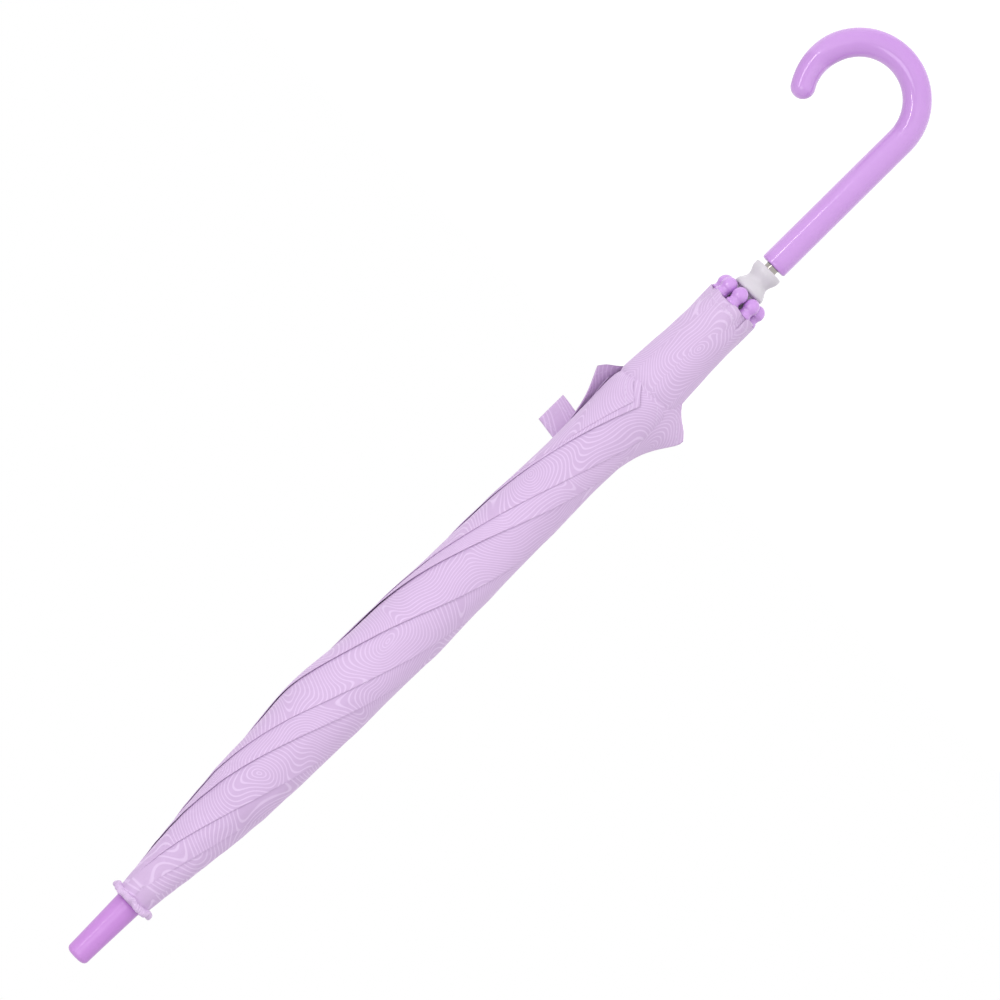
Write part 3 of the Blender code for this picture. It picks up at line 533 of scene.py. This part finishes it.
def makeTips():
    # ball tips: a round end, a hollow neck with a collar, and the rib's end in it
    look = {"neck": 0.0036, "slim": 0.0016, "mouth": 0.0012, "length": 0.0130, "skirt": 0.0043}
    neckAngle = math.asin(look["neck"] / ballRadius)
    long = look["length"]
    profile = [(look["mouth"], long * 0.6), (look["mouth"], long),
               (look["slim"], long), (look["slim"], long * 0.58),
               (look["skirt"], long * 0.545), (look["skirt"], long * 0.43), (look["neck"], long * 0.37)]
    profile = roundedProfile(profile, 0.0002, 3)
    for i in range(25):
        a = neckAngle + (math.pi - neckAngle) * i / 24
        egg = 1.03 + 0.05 * math.cos(a)
        profile.append((max(ballRadius * egg * math.sin(a), 0.00001), ballRadius * 1.06 * math.cos(a)))
    tilt = math.atan2(tipCircle - ribRadius(ballZ + look["length"]), look["length"])
    for k in range(1, ribCount + 1):
        a = azimuthOf(k)
        obj = turnedPiece("tip_ball_%d" % k, profile, 36)
        place = Matrix.Translation((tipCircle * math.cos(a), tipCircle * math.sin(a), ballZ))
        obj.data.transform(place @ Matrix.Rotation(a, 4, "Z") @ Matrix.Rotation(-tilt, 4, "Y"))
        dress(obj, ballLilac, "rib_arm_%d" % k, "rib_tip_%d" % k, slot="lilac_plastic")
    print("rib tips made")


def finishCad():
    # frame pieces that are shown as they are: their own metal or plastic, with their coincident vertices welded
    groups = {
        "steel": ["notch_ring", "runner_ring", "notch_pin", "stop_pin", "top_catch", "bottom_catch"],
        "white": ["top_notch", "snap_stud", "snap_socket"],
    }
    for k in range(1, ribCount + 1):
        groups["steel"] += ["rib_%d" % k, "stretcher_%d" % k, "joint_rivet_%d" % k]
    for material, names in ((steel, groups["steel"]), (white, groups["white"])):
        for name in names:
            node = frame["nodes"][name]
            node.data.materials.clear()
            node.data.materials.append(material)
            weld = node.modifiers.new("weld", "WELD")
            weld.merge_threshold = 0.000005
    patch = frame["nodes"]["crown_patch"]
    patch.data.materials.clear()
    patch.data.materials.append(cloth)
    print("frame pieces given their materials")


goreCut = {
    "ribEdge": crownZ - hemZ,       # crown pivot to the corner at a rib's tip
    "middle": 0.4150,               # crown pivot to the hem, down the middle
    "half": goreAngle / 2,
}


def hemReach(angle):
    # length of the gore at this angle from its middle: straight between the corners, hollowed a little
    half = goreCut["half"]
    straight = goreCut["ribEdge"] * math.cos(half) / math.cos(angle)
    hollow = goreCut["ribEdge"] * math.cos(half) - goreCut["middle"]
    return straight - hollow * (1 - (angle / half) ** 2)


outline = [  # distance under the crown pivot, radius of the bundle
    (-0.0085, 0.0106), (0.002, 0.0116), (0.012, 0.0128), (0.023, 0.0144), (0.036, 0.0158), (0.050, 0.0170),
    (0.063, 0.0181), (0.077, 0.0198), (0.090, 0.0204), (0.110, 0.0209), (0.140, 0.0214), (0.205, 0.0218),
    (0.245, 0.0211), (0.285, 0.0200), (0.312, 0.0195), (0.335, 0.0190), (0.365, 0.0200), (0.385, 0.0208),
    (0.400, 0.0192), (0.415, 0.0184), (0.430, 0.0174), (0.4500, 0.0168), (0.4625, 0.0164),
]
wrapStart = math.radians(50)
wrapRate = math.radians(0.935) / 0.001      # turn of the fold lines per metre down the bundle
# where each flap's fold line crosses the front, under the crown pivot
crossings = [0.037, 0.080, 0.113, 0.172, 0.206, 0.230, 0.301, 0.333]
cornerDown = 0.3860
# the two loose corners, one to each side: cloth that leaves the bundle this far behind its corner
looseCorner = {"span": math.radians(73), "from": 0.354, "rise": 0.034, "down": 0.3905,
               "back": math.radians(27)}
hemFlat = 0.13        # share of a folded gore, beside its rib, that reaches the whole way down
pleats = {"turn": 25, "depth": 0.00095, "from": 0.438, "frill": 0.0012}


def foldWrap(down):
    return wrapStart + wrapRate * max(down, 0)


def evenCrossing(n):
    # the fold line of flap n crosses the front here if all were evenly spaced
    return crossings[0] + n * math.radians(360 / ribCount) / wrapRate


def flapAngle(k):
    # the azimuth that flap k's cloth starts from. Flap n = 0 is the one that crosses the front first
    return azimuthOf(k) + math.radians(360 / ribCount)


def foldShift(n, down):
    # how far flap n's fold line strays from the even spiral, none at the crown and the hem
    stray = (crossings[n] - evenCrossing(n)) * wrapRate
    reach = abs(down - crossings[n]) / 0.16
    wander = 0.055 * noise.noise(Vector((down * 16, n * 3.1, 0.5)))
    return stray * math.exp(-reach * reach) + wander * smooth(down / 0.05)


def bundleWrinkle(azimuth, down):
    # shallow hollows and ridges that every layer of the bundle shares
    helix = azimuth + wrapRate * down
    p = Vector((math.cos(helix) * 1.3, math.sin(helix) * 1.3, down * 7))
    q = Vector((math.cos(azimuth) * 2.2, math.sin(azimuth) * 2.2, down * 22 + 5))
    return 0.00055 * noise.noise(p) + 0.00040 * noise.noise(q)


def bundlePoint(azimuth, down, radius, outer):
    share = smooth(down / 0.04)
    radius += bundleWrinkle(azimuth, down) * share
    side = max(0.0, math.cos(azimuth))
    radius += 0.0030 * side * math.exp(-(((down - 0.142) / 0.030) ** 2)) * outer
    return Vector((radius * math.cos(azimuth), radius * math.sin(azimuth), crownZ - down))


def makeFlap(k, n):
    # one gore folded down its middle and wrapped round the bundle, fold line outermost
    start = flapAngle(k)
    columns, rows, collar = 54, 150, 5
    step = math.radians(360 / ribCount)
    tip = start - foldWrap(cornerDown) - foldShift(n, cornerDown)
    loose = abs(math.sin(tip + math.radians(27))) < 0.3
    corner = looseCorner["down"] if loose and math.cos(tip) < 0 else cornerDown
    turnBack = looseCorner["back"] if loose and math.cos(tip) > 0 else 0
    tip += turnBack
    print("flap", k, "corner at", round(math.degrees(tip)) % 360, "loose" if loose else "")
    points, flat, hem = [], [], []
    # lateral positions: 0 at the rib, 1 at the fold line, closer together near the fold
    sides = [1 - (1 - i / (columns - 1)) ** 1.35 for i in range(columns)]
    layers = [(side, 1) for side in sides] + [(side, -1) for side in reversed(sides)]
    for r in range(rows + collar):
        for side, layer in layers:
            hemDown = foldedHem(side, corner)
            if r < collar:
                down = -0.0083 * (1 - r / collar)
                flatDown, flatSide = down, layer * 0.002 * side
            else:
                share = ((r - collar) / (rows - 1)) ** 0.93
                down = hemDown * share
                flatDown, flatSide = down, layer * down * math.tan(goreCut["half"]) * side
            toHem = (hemDown - down) * 0.9
            full = foldWrap(down)
            wrapped = full * side
            azimuth = start - wrapped - foldShift(n, down) * side ** 2
            azimuth += turnBack * side ** 2 * smooth((down - 0.300) / 0.070)
            sideMost = max(0.02, hemSide(down, corner))         # the hem cuts the wrap short near the end
            outside = along(outline, down)
            inside = max(ribRadius(crownZ - down) + 0.0021, 0.0098)
            inside = min(inside, outside - 0.0004)
            room = outside - inside
            lip = min(0.0006, room * 0.4) * smooth(down / 0.03)
            # flush on one side
            lip *= 0.25 + 0.75 * smooth(0.5 + 0.6 * math.cos(azimuth + math.radians(45)))
            shallow = step * 1.5                       # this far behind its fold a flap may still be seen
            layersUnder = max(full * sideMost - shallow, 0.2)
            behind = full * sideMost - wrapped
            if behind < shallow:
                radius = outside - lip * behind / step
            else:
                radius = outside - lip * 1.5 - (room - lip * 1.5) * min((behind - shallow) / layersUnder, 1)
            puff = math.exp(-((behind / math.radians(9)) ** 2)) * smooth(down / 0.05)
            if layer > 0:
                radius += 0.00020 * puff
            else:
                radius -= min(0.00015, room * 0.1) + 0.00015 * puff * min(1, behind / math.radians(3))
            # past the corners the cloth beside the ribs comes out over the hems of the rest
            tuck = math.radians(7)
            if wrapped < step + tuck:
                nearRib = outside - 0.0006 * max(1 - wrapped / tuck, 0)
            else:
                nearRib = outside - room * min((wrapped - step - tuck) / max(full - step, 0.2) * 2.2, 1)
            nearRib -= 0.00012 if layer < 0 else 0
            ragged = 0.004 * noise.noise(Vector((math.cos(azimuth) * 1.5, math.sin(azimuth) * 1.5, 3.3)))
            swap = smooth((down - corner - 0.005 - ragged) / 0.008)
            radius += (nearRib - radius) * swap
            gather = smooth((down - pleats["from"]) / (goreCut["ribEdge"] - pleats["from"]))
            spot = Vector((math.cos(azimuth) * 2, math.sin(azimuth) * 2, down * 9))
            fold = math.sin(pleats["turn"] * azimuth + 3 * noise.noise(spot))
            radius += pleats["depth"] * gather * fold
            outer = 1.0 if behind < shallow else max(0.0, 1 - (behind - shallow) / layersUnder)
            frill = pleats["frill"] * (0.7 + 0.5 * fold) * gather ** 3
            point = bundlePoint(azimuth, down + frill, radius, outer)
            beyond = tip + looseCorner["span"] - turnBack * 0.5 - azimuth
            if loose and beyond > 0:
                away = min(max((down - looseCorner["from"]) / looseCorner["rise"], 0), 1)
                away = 0.6 * away + 0.4 * smooth(away)
                point = point.lerp(leavingPoint(azimuth, beyond, radius, down), away)
            points.append(point)
            flat.append((flatSide + 0.37 * k, flatDown + 0.21 * k))
            hem.append((flatSide * 1.1, toHem))
    obj = addMesh("furled_gore_%d" % k, points, gridFaces(rows + collar, len(layers)))
    putUv(obj, flat, hem)
    dress(obj, cloth, "shaft", slot="canopy_cloth")
    return obj


def leavingPoint(azimuth, beyond, radius, down):
    # where cloth goes that leaves the bundle in a straight line instead of following it round
    off = azimuth + beyond
    ahead = Vector((math.sin(off), -math.cos(off), 0))
    outward = Vector((math.cos(off), math.sin(off), 0))
    return outward * radius + ahead * (radius * beyond) + Vector((0, 0, crownZ - down))


def foldedHem(side, corner):
    # distance down to the hem of the folded gore, from the rib (0) to the fold line (1)
    share = max(side - hemFlat, 0) / (1 - hemFlat)
    return goreCut["ribEdge"] - (goreCut["ribEdge"] - corner) * share ** 1.15


def hemSide(down, corner):
    # how far across, from rib to fold, the cloth reaches at this distance down
    share = (goreCut["ribEdge"] - down) / (goreCut["ribEdge"] - corner)
    return hemFlat + (1 - hemFlat) * min(max(share, 0), 1) ** (1 / 1.15)


def makeOpenGore(k):
    # the open gore, kept at rest as a narrow slip beside its rib under the folds
    hinge = joints["gore_%d_fan" % k]
    apex = Vector(hinge["pos_m"])
    normal = Vector(hinge["axis"]).normalized()
    pivot = Vector(joints["rib_%d_pivot" % k]["pos_m"])
    chord = (pivot - apex).normalized()
    side = normal.cross(chord)
    gap = (pivot - apex).length
    outward = Vector((math.cos(azimuthOf(k)), math.sin(azimuthOf(k)), 0))
    lean = outward.dot(side)                       # the rib's bow leans this much out of the gore's plane
    width = 0.0042
    columns, rows = 36, 64
    points, flat, hem = [], [], []
    for r in range(rows):
        share = r / (rows - 1)
        for c in range(columns):
            across = c / (columns - 1)
            angle = goreAngle * across
            reach = (0.0022 + (hemReach(angle - goreCut["half"]) - 0.0022) * share) + gap
            down = reach - gap
            part = min(max(down / ribDrop, 0), 1)
            bow = 4 * ribBow * part * (1 - part)
            # the cloth's side edges lie over the ribs, which bow a little out of the gore
            edge = -lean * bow / reach
            angle = -edge + (goreAngle + 2 * edge) * across
            sag = 0.0030 * math.sin(math.pi * across) * math.sin(math.pi * share ** 0.8)
            height = bow * math.sqrt(1 - lean * lean) + 0.0013 - sag + 0.0004 * across
            height += 0.0006 * smooth((down - 0.446) / 0.010)      # over the necks of the tips
            y = slipOffset(angle, reach, width)
            x = math.sqrt(max(reach * reach - y * y, 0))
            points.append(apex + chord * x + side * y + normal * height)
            middleAngle = angle - goreCut["half"]
            flatSide = reach * math.sin(middleAngle)
            flat.append((flatSide + 0.37 * k, reach * math.cos(middleAngle) - gap + 0.21 * k))
            hem.append((flatSide * 1.1, hemReach(goreAngle * across - goreCut["half"]) + gap - reach))
    obj = addMesh("open_gore_%d" % k, points, gridFaces(rows, columns))
    putUv(obj, flat, hem)
    dress(obj, cloth, None, "canopy_panel_%d" % k, slot="canopy_cloth")
    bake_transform(obj)
    return obj


def slipOffset(angle, reach, width):
    # sideways place in the slip of a point that ends up at this angle when the gore is open
    low, high = -0.6, 1.6
    for _ in range(40):
        t = (low + high) / 2
        s = min(max(t, 0), 1)
        turned = s * s * (3 - 2 * s) * goreAngle + math.asin(max(-1, min(1, width * t / reach)))
        if turned < angle:
            low = t
        else:
            high = t
    return width * t


def makeCanopy():
    frontCrossings = sorted(range(1, ribCount + 1), key=lambda k: crossingOf(k))
    print("flaps in the order they cross the front:", frontCrossings)
    for n, k in enumerate(frontCrossings):
        flap = makeFlap(k, n)
        gore = makeOpenGore(k)
        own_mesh(flap)
        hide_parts("canopy_panel_%d" % k)
    print("canopy made")


def crossingOf(k):
    # distance down at which flap k's even spiral first passes the front
    front = math.radians(-90)
    turn = (flapAngle(k) - wrapStart - front) % (2 * math.pi)
    return turn / wrapRate


def makeStrap():
    low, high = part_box("tie_strap")
    rows, columns = 46, 16
    y = low.y + 0.0002
    points, flat, hem = [], [], []
    width = high.z - low.z
    for i in range(rows):
        share = i / (rows - 1)
        x = low.x + (high.x + 0.0003 - low.x) * share
        for j in range(columns):
            z = low.z + 0.0003 + (width - 0.0006) * j / (columns - 1)
            bend = 0.0006 * math.sin(share * 5.0 + j * 0.12) * share
            z += 0.0008 * math.sin(share * 3.2) * (share > 0.2) - 0.0016 * smooth((share - 0.35) / 0.65)
            points.append((x, y + 0.0004 + bend, z))
            flat.append((x + 0.4, z + 0.1))
            hem.append((x, min(z - low.z, high.z - z, high.x - x) + 0.0005))
    obj = addMesh("strap_cloth", points, gridFaces(rows, columns))
    solid = obj.modifiers.new("cloth", "SOLIDIFY")
    solid.thickness = 0.0007
    solid.offset = 0
    putUv(obj, flat, hem)
    dress(obj, cloth, "strap", "tie_strap", slot="canopy_cloth")
    print("strap made")


def addLight(name, place, target, size, power, colour=(1, 1, 1), sizeY=None):
    data = bpy.data.lights.new(name, "AREA")
    data.energy = power
    data.color = colour
    data.shape = "RECTANGLE"
    data.size = size
    data.size_y = sizeY or size
    obj = bpy.data.objects.new(name, data)
    obj.location = place
    obj.rotation_euler = (Vector(target) - Vector(place)).to_track_quat("-Z", "Y").to_euler()
    bpy.context.scene.collection.objects.link(obj)
    return obj


def makeStage():
    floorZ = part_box("handle")[0].z - 0.012
    size = 9.0
    corners = [(-size, -size, floorZ), (size, -size, floorZ), (size, size, floorZ), (-size, size, floorZ)]
    floor = addMesh("floor", corners, [(0, 1, 2, 3)])
    material, nodes, links, shader = newMaterial("paleFloor")
    where = nodes.new("ShaderNodeTexCoord").outputs["Object"]
    grain = noiseNode(nodes, links, where, 40.0, 4.0, 0.6)
    pale = mixColour(nodes, links, grain, (0.93, 0.93, 0.93), (0.90, 0.90, 0.905))
    links.new(pale, shader.inputs["Base Color"])
    shader.inputs["Roughness"].default_value = 0.85
    shader.inputs["Emission Color"].default_value = (1, 1, 1, 1)
    shader.inputs["Emission Strength"].default_value = 0.35
    floor.data.materials.append(material)
    world = bpy.data.worlds.new("studio")
    bpy.context.scene.world = world
    world.use_nodes = True
    background = world.node_tree.nodes["Background"]
    background.inputs[1].default_value = 1.0
    # bright all round, greyer at the two sides so that round things show their shape
    nodes, links = world.node_tree.nodes, world.node_tree.links
    where = nodes.new("ShaderNodeTexCoord").outputs["Generated"]
    split = nodes.new("ShaderNodeSeparateXYZ")
    links.new(where, split.inputs[0])
    aside = mathNode(nodes, links, "ABSOLUTE", split.outputs[0])
    aside = mathNode(nodes, links, "POWER", aside, 1.6)
    sides = mixColour(nodes, links, aside, (1.0, 1.0, 1.0), (0.50, 0.50, 0.52))
    front = mathNode(nodes, links, "MAXIMUM", mathNode(nodes, links, "MULTIPLY", split.outputs[1], -1.0), 0.0)
    around = mixColour(nodes, links, front, sides, (0.66, 0.66, 0.68))
    seen = nodes.new("ShaderNodeLightPath").outputs["Is Camera Ray"]
    links.new(mixColour(nodes, links, seen, around, (1.0, 1.0, 1.0)), background.inputs[0])
    middle = (0, 0, 0.25)
    addLight("keyLight", (0.1, -1.7, 0.7), middle, 0.8, 4.0)
    addLight("stripLight", (0.92, -1.18, 0.16), middle, 0.09, 6.0, sizeY=1.6)
    bpy.context.scene.view_settings.view_transform = "Standard"
    print("stage and lights made")


def makeCamera():
    # from the front, the shaft lying across the frame from lower left to upper right
    data = bpy.data.cameras.new("camera")
    camera = bpy.data.objects.new("camera", data)
    bpy.context.scene.collection.objects.link(camera)
    aim = Vector((0.0146, 0, tipTop - 0.349))
    distance = 3.2
    right = Vector((-0.703, 0, -0.711)).normalized()
    up = Vector((0.711, 0, -0.703)).normalized()
    back = Vector((0, -1, 0))
    turn = Matrix((right, up, back)).transposed().to_4x4()
    camera.matrix_world = Matrix.Translation(aim + back * distance) @ turn
    data.sensor_width = 36
    data.lens = 36 * distance / 0.560
    data.clip_end = 30
    bpy.context.scene.camera = camera
    print("camera set")


makeHandle()
makeFerrule()
makeRuffle()
makeShaft()
makeRunner()
makeTips()
finishCad()
makeCanopy()
makeStrap()
makeStage()
makeCamera()
